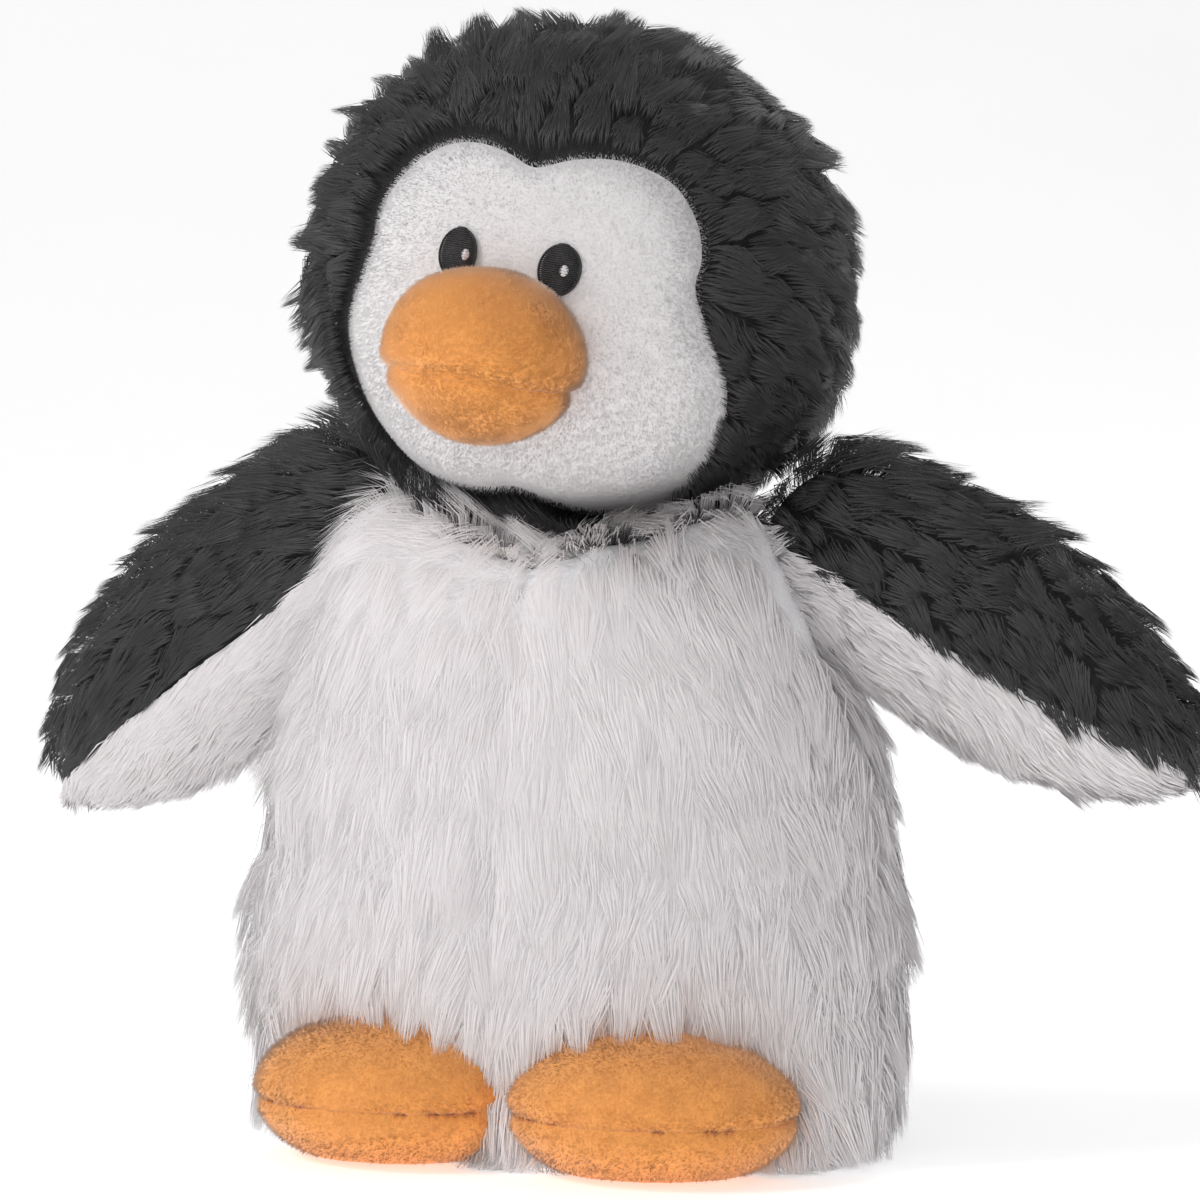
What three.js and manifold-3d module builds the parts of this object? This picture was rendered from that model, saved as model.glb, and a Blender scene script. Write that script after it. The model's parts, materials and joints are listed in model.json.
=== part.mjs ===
import * as THREE from 'three';
import { mergeVertices } from 'three/addons/utils/BufferGeometryUtils.js';
import Module from 'manifold-3d';

// A standing plush penguin, sewn from long-pile and short-pile panels over stuffed bags.
// Millimetres, +Z up. The toy faces -Y and its own left is +X. The origin is the middle of
// the flat base panel, on the surface the toy stands on.

const wasm = await Module();
wasm.setup();

// Driving dimensions
const GAP = 0.3; // clearance kept between neighbouring pieces
const LARGE = { around: 24, along: 12 }; // facets of the body, neck and head
const SMALL = { around: 14, along: 8 }; // facets of the beak, feet and pouch
const PANEL = 6; // skin and pile of the long-pile panels
const HALF_SPACE = 400; // edge of the blocks that cut a solid along a plane
const SIDE_SEAM_Y = 13; // side seams of the body, behind its widest line
const BASE_THICKNESS = 4;

const BODY_DEPTH_RATIO = 0.645; // depth of the body over its width
const BODY_OUTLINE = [ // half width, height
  [66, 0], [73, 10], [78, 35], [76.5, 65], [72.5, 90], [66.5, 113], [60, 133], [52, 149],
  [42, 160], [24, 168], [0, 170],
];
const BODY_RINGS = 9;

const POUCH_RADII = [36, 19, 24];
const POUCH_Y = 16;

const NECK_PIVOT = [0, 0, 178]; // the head turns and nods about this point
const NECK_SOCKET = 52; // hollow in the top of the body
const NECK_INNER = 45.2;
const NECK_CLEARANCE = 1.2;
const NECK_ANGLE = THREE.MathUtils.degToRad(40);
const NECK_CONE_HEIGHT = 73; // cuts the neck out of the socket's hollow

const HEAD_CENTRE = [0, 0, 200];
const HEAD_RADII = [64, 58, 60];
const HEAD_LEAN = THREE.MathUtils.degToRad(9); // the head rests leaning to its left
const HEAD_TURN = THREE.MathUtils.degToRad(5);
const NECK_HOLE_RADIUS = 26;
const FACE_RECESS = 3; // the face has a shorter pile than the hood
const FACE_OUTLINE = [ // right half of the face opening, from the dip above to the notch below
  [0, 30], [8, 32.5], [17, 33.5], [26, 31.5], [33, 27], [38, 20], [40, 13], [39.6, 6.5],
  [42.5, -2.5], [46, -12], [46, -20], [42.5, -30], [36, -39], [29, -45], [19, -47.5],
  [9, -47], [0, -45],
];

const BEAK_CENTRE = [0, -61, -14]; // in the head's frame
const BEAK_RADII = [23, 23, 20];
const BEAK_SKIN = 2;
const MOUTH_Z = -21;

const EYE_SPACING = 12.3; // from the middle of the face to each eye
const EYE_Z = 9;
const EYE_RADII = [5.1, 5.9];
const STITCH_HEIGHT = 0.8;
const HIGHLIGHT_RADIUS = 1.3;
const HIGHLIGHT_OFFSET = [1.2, 1.0];

const SHOULDER = [60, 8, 139]; // the left wing's hinge; the right wing's is its mirror image
const WING_SKIN = 4;
const WING_FLATTEN = 0.72; // thickness of the wing over its width
const WING_ROOT = 22.5;
const WING_OUTLINE = [ // half width, distance from the shoulder
  [24, 18], [25, 38], [24, 56], [20.5, 73], [14, 88], [7, 96], [0, 98.5],
];
const WING_STEPS = 7;
const ROOT_STEPS = 4; // facets over the round root
const WING_SEGMENTS = 14;
const WING_FRONT_SEAM = THREE.MathUtils.degToRad(10); // below the wing's leading edge
const WING_BACK_SEAM = THREE.MathUtils.degToRad(115);
const WING_REST = { // droop below the horizontal, and sweep towards the back
  left: { side: 1, droop: THREE.MathUtils.degToRad(27), sweep: THREE.MathUtils.degToRad(-2) },
  right: { side: -1, droop: THREE.MathUtils.degToRad(33.5), sweep: THREE.MathUtils.degToRad(4) },
};
const WING_LOWEST = THREE.MathUtils.degToRad(46);
const WING_FAN_REACH = 73; // how far out a lowering wing presses into the body
const WING_CLEARANCE = 1.8;

const FOOT_HINGE = [30, -14, 15.5];
const FOOT_REACH = 22; // from the hinge to the middle of the foot
const FOOT_RADII = [32.5, 29, 17];
const FOOT_SKIN = 2.2;
const FOOT_SEAM_Z = -1.5; // from the height of the hinge
const FOOT_LIFT = THREE.MathUtils.degToRad(20);
const FOOT_CLEARANCE = 1.5;
const TOE_OUT = THREE.MathUtils.degToRad(10);

const LABEL = { width: 16, drop: 26, thickness: 0.8, z: 34, around: THREE.MathUtils.degToRad(130) };

// Solids for cutting and joining

function flattened(geometry) {
  const bare = geometry.index ? geometry.toNonIndexed() : geometry.clone();
  bare.deleteAttribute('normal');
  bare.deleteAttribute('uv');
  return mergeVertices(bare, 1e-4);
}

function solidFrom(geometry) {
  const merged = flattened(geometry);
  const corners = merged.index.array;
  const kept = [];
  for (let i = 0; i < corners.length; i += 3) {
    const [a, b, c] = [corners[i], corners[i + 1], corners[i + 2]];
    if (a !== b && b !== c && c !== a) {
      kept.push(a, b, c);
    }
  }
  return new wasm.Manifold(new wasm.Mesh({
    numProp: 3,
    vertProperties: new Float32Array(merged.attributes.position.array),
    triVerts: new Uint32Array(kept),
  }));
}

function geometryFrom(solid) {
  const mesh = solid.getMesh();
  const geometry = new THREE.BufferGeometry();
  geometry.setAttribute('position', new THREE.BufferAttribute(mesh.vertProperties, 3));
  geometry.setIndex(new THREE.BufferAttribute(mesh.triVerts, 1));
  geometry.computeVertexNormals();
  return geometry;
}

function block(low, high) {
  const size = high.map((value, i) => value - low[i]);
  const middle = high.map((value, i) => (value + low[i]) / 2);
  return solidFrom(new THREE.BoxGeometry(...size).translate(...middle));
}

// Everything beyond a value along one axis (0, 1 or 2), in the direction of the sign
function halfSpace(axis, value, sign) {
  const low = [-HALF_SPACE, -HALF_SPACE, -HALF_SPACE];
  const high = [HALF_SPACE, HALF_SPACE, HALF_SPACE];
  (sign > 0 ? low : high)[axis] = value;
  return block(low, high);
}

function ellipsoidGeometry(centre, radii, facets) {
  return new THREE.SphereGeometry(1, facets.around, facets.along)
    .rotateX(Math.PI / 2)
    .scale(...radii)
    .translate(...centre);
}

function ellipsoid(centre, radii, facets) {
  return solidFrom(ellipsoidGeometry(centre, radii, facets));
}

function insetRadii(radii, inset) {
  return radii.map((radius) => radius - inset);
}

// A closed solid of revolution about +Z from [radius, height] pairs, bottom first
function turned(profile, segments) {
  const points = profile.map(([radius, height]) => new THREE.Vector2(Math.max(radius, 0), height));
  return new THREE.LatheGeometry(points, segments).rotateX(Math.PI / 2);
}

// A vertical prism standing on the head's front, from an outline in x and z
function frontPrism(outline) {
  const shape = new THREE.Shape(outline);
  const geometry = new THREE.ExtrudeGeometry(shape, { depth: HALF_SPACE, bevelEnabled: false });
  return solidFrom(geometry.rotateX(Math.PI / 2));
}

function joined(solids) {
  return solids.reduce((whole, solid) => whole.add(solid));
}

// Body

function bodyProfile(inset) {
  const curve = new THREE.SplineCurve(BODY_OUTLINE.map(([x, z]) => new THREE.Vector2(x, z)));
  const profile = [];
  for (let i = 0; i <= BODY_RINGS; i += 1) {
    const point = curve.getPoint(i / BODY_RINGS);
    const along = curve.getTangent(i / BODY_RINGS);
    profile.push([point.x - inset * along.y, point.y + inset * along.x]);
  }
  profile[BODY_RINGS][0] = 0;
  return [[0, profile[0][1]], ...profile];
}

function bodySolid(inset) {
  const floor = halfSpace(2, 0, 1);
  const geometry = turned(bodyProfile(inset), LARGE.around).scale(1, BODY_DEPTH_RATIO, 1);
  return inset > 0 ? solidFrom(geometry) : solidFrom(geometry).intersect(floor);
}

function neckBall(radius) {
  return ellipsoid(NECK_PIVOT, [radius, radius, radius], LARGE);
}

function placedSolid(geometry, group) {
  group.updateMatrix();
  return solidFrom(geometry.clone().applyMatrix4(group.matrix));
}

// The space that a wing and a foot sweep through on each side, taken out of the body
function wingSpace(name) {
  const lowest = wingGroup(name, WING_LOWEST);
  const sector = new THREE.Shape([
    new THREE.Vector2(0, 0),
    new THREE.Vector2(WING_FAN_REACH, 0),
    new THREE.Vector2(WING_FAN_REACH, WING_FAN_REACH * Math.tan(WING_LOWEST)),
  ]);
  const depth = 2 * (WING_OUTLINE[1][0] * WING_FLATTEN + WING_CLEARANCE);
  const fan = new THREE.ExtrudeGeometry(sector, { depth, bevelEnabled: false })
    .translate(0, 0, -depth / 2)
    .rotateX(Math.PI / 2);
  return placedSolid(wingGeometry(-WING_CLEARANCE), lowest).add(placedSolid(fan, lowest));
}

function footSpace(side) {
  const group = footGroup(side);
  const geometry = footGeometry(-FOOT_CLEARANCE);
  const resting = placedSolid(geometry, group);
  const lifted = placedSolid(geometry.clone().rotateX(-FOOT_LIFT), group);
  const half = placedSolid(geometry.clone().rotateX(-FOOT_LIFT / 2), group);
  return joined([resting, half, lifted]);
}

function buildBody() {
  const spaces = joined([
    neckBall(NECK_SOCKET),
    ...Object.keys(WING_REST).map(wingSpace),
    footSpace(1),
    footSpace(-1),
  ]);
  const shell = bodySolid(0)
    .subtract(bodySolid(PANEL))
    .intersect(halfSpace(2, BASE_THICKNESS + GAP, 1))
    .subtract(spaces);
  const front = shell.intersect(halfSpace(1, SIDE_SEAM_Y - GAP / 2, -1));
  const pouch = beanPouch(0);
  const stuffing = bodySolid(PANEL + GAP)
    .intersect(halfSpace(2, BASE_THICKNESS + GAP, 1))
    .subtract(spaces)
    .subtract(beanPouch(GAP));
  return [
    piece('belly_panel_left', front.intersect(halfSpace(0, GAP / 2, 1)), 'whitePile'),
    piece('belly_panel_right', front.intersect(halfSpace(0, -GAP / 2, -1)), 'whitePile'),
    piece('back_panel', shell.intersect(halfSpace(1, SIDE_SEAM_Y + GAP / 2, 1)), 'blackPile'),
    piece('base_panel', bodySolid(0).intersect(halfSpace(2, BASE_THICKNESS, -1)).subtract(spaces),
      'shortWhite'),
    piece('torso_stuffing', stuffing, 'fibre'),
    piece('bean_pouch', pouch, 'pouchCloth'),
    piece('care_label', careLabel(), 'label'),
  ];
}

function beanPouch(grow) {
  const radii = POUCH_RADII.map((radius) => radius + grow);
  const floor = BASE_THICKNESS + GAP - grow;
  return ellipsoid([0, POUCH_Y, BASE_THICKNESS + GAP], radii, SMALL)
    .intersect(halfSpace(2, floor, 1));
}

// A blank woven label, sewn on low down beside the side seam and lying flat on the back
function careLabel() {
  const radius = BODY_OUTLINE[2][0];
  const x = radius * Math.cos(LABEL.around);
  const y = radius * BODY_DEPTH_RATIO * Math.sin(LABEL.around);
  const outward = Math.atan2(y / BODY_DEPTH_RATIO ** 2, x);
  const plate = new THREE.BoxGeometry(LABEL.thickness, LABEL.width, LABEL.drop)
    .translate(GAP + LABEL.thickness / 2, 0, 0)
    .rotateZ(outward)
    .translate(x, y, LABEL.z);
  return solidFrom(plate);
}

// Neck

function buildNeck() {
  const cone = new THREE.ConeGeometry(NECK_CONE_HEIGHT * Math.tan(NECK_ANGLE), NECK_CONE_HEIGHT, LARGE.around)
    .rotateX(Math.PI / 2)
    .translate(NECK_PIVOT[0], NECK_PIVOT[1], NECK_PIVOT[2] - NECK_CONE_HEIGHT / 2);
  const plug = neckBall(NECK_SOCKET - NECK_CLEARANCE).subtract(neckBall(NECK_INNER));
  return [piece('neck_stuffing', plug.intersect(solidFrom(cone)), 'fibre')];
}

// Head, in a frame of its own at the middle of the head

function headSolid(inset) {
  return ellipsoid([0, 0, 0], insetRadii(HEAD_RADII, inset), LARGE);
}

function faceOutline(grow) {
  const right = FACE_OUTLINE.map(([x, z]) => new THREE.Vector2(x, z));
  const left = FACE_OUTLINE.slice(1, -1).map(([x, z]) => new THREE.Vector2(-x, z)).reverse();
  const outline = [...right, ...left];
  return outline.map((point) => point.clone().setLength(point.length() + grow));
}

function facePrism(grow) {
  return frontPrism(faceOutline(grow));
}

function ovalPrism(centre, radii) {
  const curve = new THREE.EllipseCurve(centre[0], centre[1], radii[0], radii[1]);
  return frontPrism(curve.getPoints(SMALL.around).slice(0, -1));
}

// Embroidery: a thin pad that follows the face at a height above it
function stitchedPad(centre, radii, height) {
  const outer = headSolid(FACE_RECESS - height - STITCH_HEIGHT);
  const inner = headSolid(FACE_RECESS - height);
  return outer.subtract(inner).intersect(ovalPrism(centre, radii));
}

function beakSolid(inset) {
  return ellipsoid(BEAK_CENTRE, insetRadii(BEAK_RADII, inset), SMALL);
}

function buildHead() {
  const shell = headSolid(0).subtract(headSolid(PANEL));
  const collar = solidFrom(
    new THREE.CylinderGeometry(NECK_HOLE_RADIUS, NECK_HOLE_RADIUS, HEAD_RADII[2], LARGE.around)
      .rotateX(Math.PI / 2)
      .translate(0, 0, -HEAD_RADII[2]),
  );
  const hood = shell.subtract(facePrism(GAP / 2)).subtract(collar);
  const face = headSolid(FACE_RECESS).subtract(headSolid(PANEL)).intersect(facePrism(-GAP / 2))
    .subtract(collar);
  const group = new THREE.Group();
  group.position.set(...HEAD_CENTRE);
  group.rotation.set(0, HEAD_LEAN, HEAD_TURN, 'ZYX');
  group.add(
    piece('hood_left', hood.intersect(halfSpace(0, GAP / 2, 1)), 'blackPile'),
    piece('hood_right', hood.intersect(halfSpace(0, -GAP / 2, -1)), 'blackPile'),
    piece('face_panel', face, 'shortWhite'),
    piece('head_stuffing', headSolid(PANEL + GAP), 'fibre'),
    ...buildBeak(),
    ...buildEyes(),
  );
  return [group];
}

function buildBeak() {
  const clear = headSolid(FACE_RECESS - GAP);
  const skin = beakSolid(0).subtract(beakSolid(BEAK_SKIN)).subtract(clear);
  return [
    piece('beak_upper', skin.intersect(halfSpace(2, MOUTH_Z + GAP / 2, 1)), 'orange'),
    piece('beak_lower', skin.intersect(halfSpace(2, MOUTH_Z - GAP / 2, -1)), 'orange'),
    piece('beak_stuffing', beakSolid(BEAK_SKIN + GAP).subtract(clear), 'fibre'),
  ];
}

function buildEyes() {
  const pieces = [];
  for (const [name, side] of [['left', 1], ['right', -1]]) {
    const centre = [side * EYE_SPACING, EYE_Z];
    const glint = [centre[0] + HIGHLIGHT_OFFSET[0], centre[1] + HIGHLIGHT_OFFSET[1]];
    const spot = [HIGHLIGHT_RADIUS, HIGHLIGHT_RADIUS];
    const above = STITCH_HEIGHT + 2 * GAP;
    pieces.push(
      piece(`eye_${name}`, stitchedPad(centre, EYE_RADII, GAP), 'blackThread'),
      piece(`eye_highlight_${name}`, stitchedPad(glint, spot, above), 'whiteThread'),
    );
  }
  return pieces;
}

// Wings, in a frame at the shoulder: +X runs along the wing and +Z is up

function wingGroup(name, droop) {
  const { side, sweep } = WING_REST[name];
  const group = new THREE.Group();
  group.position.set(side * SHOULDER[0], SHOULDER[1], SHOULDER[2]);
  group.rotation.set(0, droop, side > 0 ? sweep : Math.PI - sweep, 'ZYX');
  return group;
}

function wingGeometry(inset) {
  const root = [];
  for (let i = 0; i <= ROOT_STEPS; i += 1) {
    const angle = (i / ROOT_STEPS - 1) * Math.PI / 2;
    root.push([(WING_ROOT - inset) * Math.cos(angle), (WING_ROOT - inset) * Math.sin(angle)]);
  }
  root[0][0] = 0;
  const outline = [[WING_ROOT, 0], ...WING_OUTLINE];
  const curve = new THREE.SplineCurve(outline.map(([r, s]) => new THREE.Vector2(r, s)));
  const blade = [];
  for (let i = 1; i <= WING_STEPS; i += 1) {
    const point = curve.getPoint(i / WING_STEPS);
    const along = curve.getTangent(i / WING_STEPS);
    blade.push([point.x - inset * along.y, point.y + inset * along.x]);
  }
  blade[WING_STEPS - 1][0] = 0;
  return turned([...root, ...blade], WING_SEGMENTS)
    .rotateY(Math.PI / 2)
    .scale(1, WING_FLATTEN, 1);
}

// The wedge about the wing's axis that the white panel fills, from the front seam under
// the wing to the back seam; front is -1 where the wing's front is on its own -Y side
function whiteWedge(front, grow) {
  const reach = 3 * WING_ROOT;
  const middle = (WING_FRONT_SEAM + WING_BACK_SEAM) / 2;
  const half = (WING_BACK_SEAM - WING_FRONT_SEAM) / 2;
  const shift = grow / Math.sin(half);
  const corner = (angle, length) => new THREE.Vector2(
    front * (length * Math.cos(angle) - shift * Math.cos(middle)),
    -length * Math.sin(angle) + shift * Math.sin(middle),
  );
  const corners = [corner(0, 0), corner(WING_FRONT_SEAM, reach), corner(middle, 2 * reach),
    corner(WING_BACK_SEAM, reach)];
  const length = 2 * HALF_SPACE;
  return solidFrom(
    new THREE.ExtrudeGeometry(new THREE.Shape(corners), { depth: length, bevelEnabled: false })
      .translate(0, 0, -length / 2)
      .rotateX(Math.PI / 2)
      .rotateZ(Math.PI / 2),
  );
}

function buildWing(name) {
  const { side, droop } = WING_REST[name];
  const front = -side;
  const shell = solidFrom(wingGeometry(0)).subtract(solidFrom(wingGeometry(WING_SKIN)));
  const group = wingGroup(name, droop);
  group.add(
    piece(`wing_${name}_back`, shell.subtract(whiteWedge(front, GAP / 2)), 'blackPile'),
    piece(`wing_${name}_front`, shell.intersect(whiteWedge(front, -GAP / 2)), 'whitePile'),
    piece(`wing_${name}_stuffing`, solidFrom(wingGeometry(WING_SKIN + GAP)), 'fibre'),
  );
  return group;
}

// Feet, in a frame at the hinge line where the foot is sewn under the body

function footGroup(side) {
  const group = new THREE.Group();
  group.position.set(side * FOOT_HINGE[0], FOOT_HINGE[1], FOOT_HINGE[2]);
  group.rotation.set(0, 0, side * TOE_OUT);
  return group;
}

function footGeometry(inset) {
  return ellipsoidGeometry([0, -FOOT_REACH, 0], insetRadii(FOOT_RADII, inset), SMALL);
}

function footSolid(inset) {
  return solidFrom(footGeometry(inset)).intersect(halfSpace(2, inset - FOOT_HINGE[2], 1));
}

function buildFoot(name, side) {
  const shell = footSolid(0).subtract(footSolid(FOOT_SKIN));
  const group = footGroup(side);
  group.add(
    piece(`foot_${name}_upper`, shell.intersect(halfSpace(2, FOOT_SEAM_Z + GAP / 2, 1)), 'orange'),
    piece(`foot_${name}_sole`, shell.intersect(halfSpace(2, FOOT_SEAM_Z - GAP / 2, -1)), 'orange'),
    piece(`foot_${name}_stuffing`, footSolid(FOOT_SKIN + GAP), 'fibre'),
  );
  return group;
}

// Materials and assembly

const LOOKS = {
  blackPile: { color: 0x17171a, roughness: 0.8 },
  whitePile: { color: 0xf1f1ef, roughness: 0.9 },
  shortWhite: { color: 0xf4f4f2, roughness: 0.95 },
  orange: { color: 0xf29a45, roughness: 0.9 },
  blackThread: { color: 0x101010, roughness: 0.6 },
  whiteThread: { color: 0xffffff, roughness: 0.6 },
  fibre: { color: 0xe9e7e2, roughness: 1 },
  pouchCloth: { color: 0xcfc6b4, roughness: 0.95 },
  label: { color: 0xfafafa, roughness: 0.5 },
};

function piece(name, solid, look) {
  const material = new THREE.MeshStandardMaterial({ ...LOOKS[look], metalness: 0 });
  const mesh = new THREE.Mesh(geometryFrom(solid), material);
  mesh.name = name;
  return mesh;
}

const penguin = new THREE.Group();
penguin.add(
  ...buildBody(),
  ...buildNeck(),
  ...buildHead(),
  buildWing('left'),
  buildWing('right'),
  buildFoot('left', 1),
  buildFoot('right', -1),
);

export default penguin;
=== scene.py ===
"""A standing plush penguin: stuffed skins, combed long pile, short brushed nap and stitching."""

import json
import math

import bpy
import numpy as np
from mathutils import Euler, Matrix, Vector, kdtree


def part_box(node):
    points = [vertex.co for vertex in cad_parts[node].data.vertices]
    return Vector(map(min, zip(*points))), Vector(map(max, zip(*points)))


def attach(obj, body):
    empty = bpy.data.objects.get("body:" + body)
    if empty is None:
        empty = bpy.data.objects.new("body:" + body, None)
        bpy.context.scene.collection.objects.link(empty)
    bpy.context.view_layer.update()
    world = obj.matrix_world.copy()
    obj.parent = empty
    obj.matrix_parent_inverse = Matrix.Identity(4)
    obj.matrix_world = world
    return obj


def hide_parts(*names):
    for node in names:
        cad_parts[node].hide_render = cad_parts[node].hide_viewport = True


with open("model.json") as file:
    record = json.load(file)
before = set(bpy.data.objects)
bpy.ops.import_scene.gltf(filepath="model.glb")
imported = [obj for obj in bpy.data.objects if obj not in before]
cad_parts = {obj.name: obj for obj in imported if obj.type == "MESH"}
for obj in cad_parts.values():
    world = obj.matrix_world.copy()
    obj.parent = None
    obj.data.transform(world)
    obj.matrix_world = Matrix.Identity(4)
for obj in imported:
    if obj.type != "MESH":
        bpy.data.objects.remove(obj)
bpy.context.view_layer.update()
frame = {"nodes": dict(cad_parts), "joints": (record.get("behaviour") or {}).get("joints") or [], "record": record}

bl_info = {
    "name": "Plush Penguin",
    "version": (1, 0, 0),
    "blender": (4, 5, 0),
    "location": "View3D > Sidebar > Penguin",
    "description": "Builds a stuffed penguin with combed pile over its sewn panels",
    "category": "Object",
}

MM = 0.001
JOINTS = {joint["name"]: joint for joint in frame["joints"]}
NECK = np.array(JOINTS["head_turn"]["pos_m"])
HEAD_LEAN = math.radians(9)
HEAD_TURN = math.radians(5)
SIDE_SEAM_Y = 15 * MM
WHITE_FROM = math.radians(8)  # the wing's white panel, as angles below its leading edge
WHITE_TO = math.radians(118)
FRINGE_X = 20 * MM  # where the hood's fringe hangs over the collar
NECK_REACH = 40 * MM  # how far the bare skin goes round the neck and each armhole
ARMHOLE_REACH = 26 * MM
FLOOR_GAP = 0.3 * MM  # the lowest that a fibre reaches
EVEN_WHITE = 0.55  # how far white, black and short fibres are shaded as the skin beneath them
EVEN_BLACK = 0.35
EVEN_NAP = 0.92
FOOT_SEAM_DROP = 1.5 * MM  # the foot's seam, below its hinge
DOWN = np.array([0.0, 0.0, -1.0])
BACK = np.array([0.0, 1.0, 0.0])
UP = np.array([0.0, 0.0, 1.0])

# Right half of the face opening, from the dip above to the notch below, in millimetres
FACE_OUTLINE = [
    (0, 30), (8, 32.5), (17, 33.5), (26, 31.5), (33, 27), (38, 20), (40, 13), (39.6, 6.5),
    (42.5, -2.5), (46, -12), (46, -20), (42.5, -30), (36, -39), (29, -45), (19, -47.5),
    (9, -47), (0, -45),
]


def length_setting(name, description, millimetres):
    return bpy.props.FloatProperty(
        name=name, description=description, default=millimetres * MM, unit="LENGTH")


def colour_setting(name, description, colour):
    return bpy.props.FloatVectorProperty(
        name=name, description=description, default=colour, subtype="COLOR", min=0, max=1)


class PenguinPile(bpy.types.PropertyGroup):
    """Sizes of the long pile and the short nap."""

    body_length: length_setting("Body pile", "Length of the pile on the body", 17)
    hood_length: length_setting("Hood pile", "Length of the pile on the hood", 13.5)
    wing_length: length_setting("Wing pile", "Length of the pile on the wings", 13)
    lock_width: length_setting("Lock width", "Width of one lock of fibres", 0.36)
    nap_length: length_setting("Nap length", "Length of the short brushed nap", 1.3)
    nap_width: length_setting("Nap width", "Thickness of one tuft of the short nap", 0.28)


class PenguinSewing(bpy.types.PropertyGroup):
    """How the skins are stuffed and sewn."""

    pressure: bpy.props.FloatProperty(
        name="Stuffing", description="Pressure that the filling puts on the skins", default=4.0)
    swell: length_setting("Swell", "Furthest that a skin may swell", 2.5)
    skin: length_setting("Skin", "Thickness of the woven backing", 0.9)
    seam_width: length_setting("Seam width", "Half width of the groove along a seam", 2.0)
    seam_depth: length_setting("Seam depth", "Depth of the groove along a seam", 1.8)
    fill_inset: length_setting("Filling", "How far the fillings stand in from their skins", 2.5)


class PenguinColours(bpy.types.PropertyGroup):
    """Colours of the cloths and threads."""

    black: colour_setting("Black", "Long black pile", (0.027, 0.0265, 0.027))
    white: colour_setting("White", "Long white pile", (0.89, 0.857, 0.867))
    face: colour_setting("Face", "Short white pile", (0.82, 0.80, 0.803))
    orange: colour_setting("Orange", "Short orange pile", (1.0, 0.40, 0.10))


class PenguinStage(bpy.types.PropertyGroup):
    """The camera's place."""

    azimuth: bpy.props.FloatProperty(
        name="Azimuth", description="Camera's turn from the front towards the toy's left",
        default=math.radians(25), subtype="ANGLE")
    elevation: bpy.props.FloatProperty(
        name="Elevation", description="Camera's height as an angle",
        default=math.radians(3), subtype="ANGLE")
    distance: bpy.props.FloatProperty(
        name="Distance", description="Distance from the camera to the toy",
        default=1.3, unit="LENGTH")
    view_width: bpy.props.FloatProperty(
        name="View width", description="Width of the picture at the toy",
        default=0.2793, unit="LENGTH")


# Selecting and editing


def settings(name):
    return getattr(bpy.context.scene, name)


def select_only(piece):
    bpy.ops.object.select_all(action="DESELECT")
    piece.select_set(True)
    bpy.context.view_layer.objects.active = piece


def edit(piece, select="SELECT"):
    select_only(piece)
    bpy.ops.object.mode_set(mode="EDIT")
    bpy.ops.mesh.select_all(action=select)


def leave_edit():
    bpy.ops.object.mode_set(mode="OBJECT")


def coordinates(piece):
    places = np.empty(len(piece.data.vertices) * 3)
    piece.data.vertices.foreach_get("co", places)
    return places.reshape(-1, 3)


def set_coordinates(piece, places):
    piece.data.vertices.foreach_set("co", np.ascontiguousarray(places, float).ravel())
    piece.data.update()


def normals(piece):
    directions = np.empty(len(piece.data.vertices) * 3)
    piece.data.vertices.foreach_get("normal", directions)
    return directions.reshape(-1, 3)


def apply_modifier(piece, kind, **values):
    modifier = piece.modifiers.new(kind, kind)
    for name, value in values.items():
        setattr(modifier, name, value)
    select_only(piece)
    bpy.ops.object.modifier_apply(modifier=modifier.name)


def smooth_shading(piece):
    select_only(piece)
    bpy.ops.object.shade_smooth()


def unit(vectors):
    return vectors / np.maximum(np.linalg.norm(vectors, axis=-1, keepdims=True), 1e-9)


def cast_no_shadow(fibres):
    """Fibres thicker than real ones shade each other too much. The skin still casts a shadow."""
    fibres.visible_shadow = False


def finish_piece(piece, body, slot, material, *nodes):
    """Gives a piece its material and its place in the frame."""
    piece.data.materials.clear()
    piece.data.materials.append(material)
    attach(piece, body)
    if nodes:
        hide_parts(*nodes)


def finish_fibres(fibres, body, slot, material):
    finish_piece(fibres, body, slot, material)
    cast_no_shadow(fibres)


# Stuffed forms


def copy_of_node(name, node):
    form = bpy.data.objects.new(name, frame["nodes"][node].data.copy())
    bpy.context.scene.collection.objects.link(form)
    edit(form)
    bpy.ops.mesh.remove_doubles(threshold=0.02 * MM)
    leave_edit()
    return form


def close_hollow(form, node):
    """Removes the pocket that another node sits in, and closes the hole that it leaves."""
    low, high = (np.array(corner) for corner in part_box(node))
    margin = 0.8 * MM
    places = coordinates(form)
    inside = np.all((places > low - margin) & (places < high + margin), axis=1)
    edit(form, "DESELECT")
    bpy.ops.mesh.select_mode(type="VERT")
    leave_edit()
    form.data.vertices.foreach_set("select", inside)
    bpy.ops.object.mode_set(mode="EDIT")
    bpy.ops.mesh.delete(type="VERT")
    bpy.ops.mesh.select_all(action="SELECT")
    bpy.ops.mesh.fill_holes(sides=0)
    leave_edit()


def stuff(form, voxel, rise):
    """Remeshes a form, swells it like a filled bag and rounds it off."""
    sewing = settings("penguin_sewing")
    form.data.remesh_voxel_size = voxel
    select_only(form)
    bpy.ops.object.voxel_remesh()
    before, outward = coordinates(form), normals(form)
    swell(form, sewing.pressure)
    moved = np.sum((coordinates(form) - before) * outward, axis=1, keepdims=True)
    set_coordinates(form, before + outward * np.clip(moved, 0, sewing.swell))
    apply_modifier(form, "SMOOTH", factor=0.5, iterations=6)
    set_coordinates(form, coordinates(form) + normals(form) * rise)
    apply_modifier(form, "SUBSURF", levels=1, render_levels=1)
    smooth_shading(form)


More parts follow.
